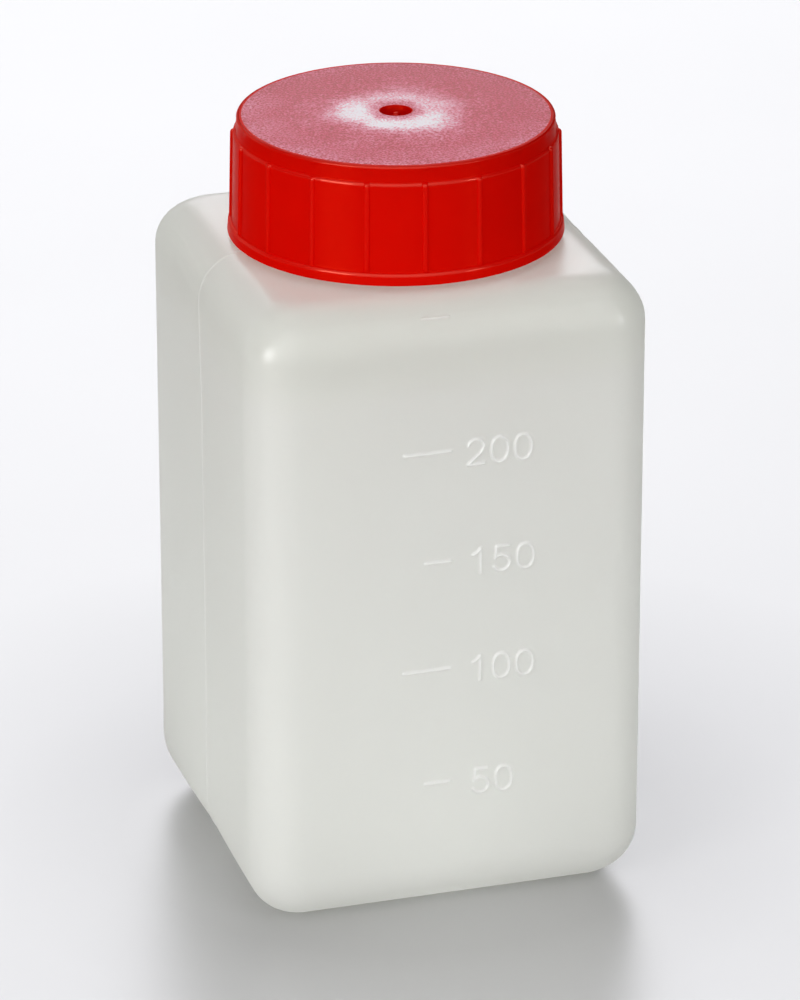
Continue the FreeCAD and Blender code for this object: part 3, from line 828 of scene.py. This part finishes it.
# ================================================================== build
bottle = make_bottle(polyethylene())
cap = make_cap(red_gloss(), red_grain())
seal = make_seal(foam())
for ob in (bottle, cap, seal):
    w = ob.modifiers.new("even_normals", "WEIGHTED_NORMAL")
    w.mode = "FACE_AREA"
    w.weight = 50
    w.keep_sharp = False
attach(bottle, "bottle")
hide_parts("bottle")
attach(seal, "seal")
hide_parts("seal_disc")
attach(cap, "cap")
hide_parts("screw_cap")

# ================================================================== studio
me = bpy.data.meshes.new("floor")
s = 4.0
me.from_pydata([(-s, -s, 0), (s, -s, 0), (s, s, 0), (-s, s, 0)], [], [(0, 1, 2, 3)])
floor = bpy.data.objects.new("floor", me)
bpy.context.scene.collection.objects.link(floor)
fm, fnt, fp = new_material("pale_floor")
nt = fnt
v = coords(nt)
nt.links.new(ramp(nt, noise(nt, v, 9.0, 3.0), [(0.3, (0.575, 0.575, 0.582)), (0.7, (0.595, 0.595, 0.602))]), fp.inputs["Base Color"])
fp.inputs["Metallic"].default_value = 0.40
fp.inputs["Roughness"].default_value = 0.36
far = nt.nodes.new("ShaderNodeVectorMath")
far.operation = "LENGTH"
nt.links.new(v, far.inputs[0])
fp.inputs["Emission Color"].default_value = (0.97, 0.98, 1.0, 1.0)
# painted shadow and hidden glow: the floor glows strongly under the bottle's base, where it is hidden and lights the
# bottle from below, not at all in a ring around the bottle, and faintly further out, so the floor is darker near the
# bottle
floor_glow_and_painted_shadow = ramp(nt, spread(nt, far.outputs["Value"], 0.0, 1.0, 0.0, 0.1), [(0.165, (1.0,) * 3), (0.19, (0.0,) * 3), (0.40, (0.0,) * 3), (0.62, (0.038,) * 3), (1.0, (0.074,) * 3)])
nt.links.new(maths(nt, "MULTIPLY", floor_glow_and_painted_shadow, 2.2), fp.inputs["Emission Strength"])
me.materials.append(fm)

world = bpy.data.worlds.new("studio")
bpy.context.scene.world = world
world.use_nodes = True
wnt = world.node_tree
wnt.nodes.clear()
w_out = wnt.nodes.new("ShaderNodeOutputWorld")
w_dir = wnt.nodes.new("ShaderNodeTexCoord")


def glow(colour, strength, towards=None, start=0.0, full=1.0):
    """One soft part of the tent: even, or strongest towards one side."""
    bg = wnt.nodes.new("ShaderNodeBackground")
    bg.inputs["Color"].default_value = (*colour, 1.0)
    bg.inputs["Strength"].default_value = strength
    if towards is not None:
        dot = wnt.nodes.new("ShaderNodeVectorMath")
        dot.operation = "DOT_PRODUCT"
        dot.inputs[1].default_value = Vector(towards).normalized()
        wnt.links.new(w_dir.outputs["Generated"], dot.inputs[0])
        rng = wnt.nodes.new("ShaderNodeMapRange")
        rng.interpolation_type = "SMOOTHSTEP"
        rng.inputs["From Min"].default_value = start
        rng.inputs["From Max"].default_value = full
        rng.inputs["To Max"].default_value = strength
        wnt.links.new(dot.outputs["Value"], rng.inputs["Value"])
        wnt.links.new(rng.outputs["Result"], bg.inputs["Strength"])
    return bg.outputs["Background"]


def joined(a, b):
    add = wnt.nodes.new("ShaderNodeAddShader")
    wnt.links.new(a, add.inputs[0])
    wnt.links.new(b, add.inputs[1])
    return add.outputs["Shader"]


tent = glow((0.97, 0.98, 1.0), 0.06)
tent = joined(tent, glow((0.97, 0.97, 1.0), 2.35, (0.262, 0.882, 0.390), 0.93, 0.985))
tent = joined(tent, glow((0.97, 0.98, 1.0), 0.64, (-0.42, 0.90, 0.12), 0.74, 0.97))
tent = joined(tent, glow((1.0, 0.99, 0.98), 0.56, (-0.22, -0.32, 0.92), 0.45, 0.98))
tent = joined(tent, glow((1.0, 0.99, 0.98), 1.06, (-0.30, -0.89, 0.33), 0.45, 0.95))
wnt.links.new(tent, w_out.inputs["Surface"])


def area(name, at, towards, size, power, colour=(1, 1, 1), size_y=None):
    l = bpy.data.lights.new(name, "AREA")
    l.energy = power
    l.color = colour
    l.shape = "RECTANGLE"
    l.size = size
    l.size_y = size_y or size
    o = bpy.data.objects.new(name, l)
    o.location = at
    d = Vector(towards) - Vector(at)
    o.rotation_euler = d.to_track_quat("-Z", "Y").to_euler()
    bpy.context.scene.collection.objects.link(o)
    return o


def around(azimuth, elevation, distance, height=0.06):
    q, e = math.radians(azimuth), math.radians(elevation)
    return (distance * math.cos(q) * math.cos(e), distance * math.sin(q) * math.cos(e), height + distance * math.sin(e))


area("softbox_left", around(-148, 14, 0.95), (0, 0, 0.06), 0.36, 2.6, (1.0, 0.99, 0.98), 0.40)
area("softbox_right", around(-53, 11, 0.95), (0, 0, 0.06), 0.18, 0.80, (1.0, 1.0, 1.0), 0.18)


# ------------------------------------------------------------------ camera at the photograph's angle
az, el = 0.295224, 0.397040
back_v = Vector((-math.sin(az) * math.cos(el), -math.cos(az) * math.cos(el), math.sin(el)))
aim = Vector((0, 0, 55.98 * MM))
eye = aim + back_v * 799.16 * MM
fwd = -back_v
right = fwd.cross(Vector((0, 0, 1))).normalized()
up = right.cross(fwd)
look_at = aim + right * (0.569 * MM) - up * (4.217 * MM)
cam = bpy.data.cameras.new("camera")
cam.lens, cam.sensor_width, cam.sensor_fit = 203.86, 36.0, "AUTO"
cam.clip_start, cam.clip_end = 0.05, 20.0
co = bpy.data.objects.new("camera", cam)
co.location = eye
co.rotation_euler = (look_at - eye).to_track_quat("-Z", "Y").to_euler()
bpy.context.scene.collection.objects.link(co)
bpy.context.scene.camera = co

bpy.context.scene.cycles.diffuse_bounces = 8             # light crosses the milky walls several times
bpy.context.scene.view_settings.view_transform = "Standard"
bpy.context.scene.view_settings.look = "None"

bpy.context.view_layer.update()
